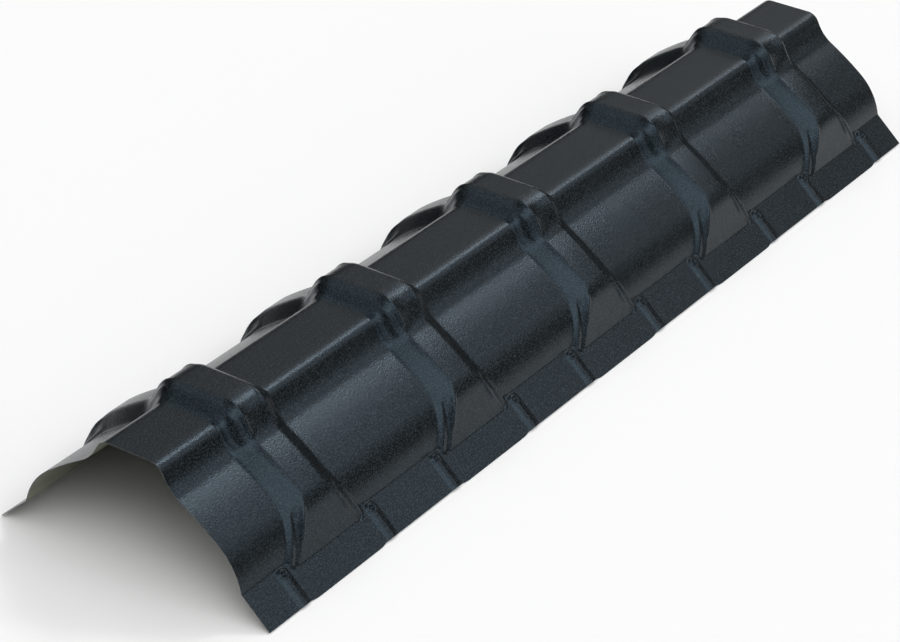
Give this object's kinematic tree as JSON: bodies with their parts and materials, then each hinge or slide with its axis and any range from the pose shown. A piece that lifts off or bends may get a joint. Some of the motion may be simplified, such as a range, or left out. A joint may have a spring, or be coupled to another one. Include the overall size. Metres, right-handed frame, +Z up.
{
  "type": "roof ridge cap",
  "caption": "Pressed sheet-steel roof ridge cap with a flat crown, stepped sides, cross ribs that flare toward the flanges, and beaded side flanges that lie on both roof slopes.",
  "frame": {"origin": "middle of the cap's length and width, on the floor plane that the flange tips stand on", "axes": "+X along the ridge, +Y across it to one flange, +Z up through the crown"},
  "size_m": [1, 0.2636, 0.1221],
  "materials": {
    "coated_steel": "matt fine-textured graphite-black coil coating outside, plain beige-grey backing coat inside"
  },
  "bodies": {
    "root": {"ridge_cap": "coated_steel"}
  },
  "joints": []
}
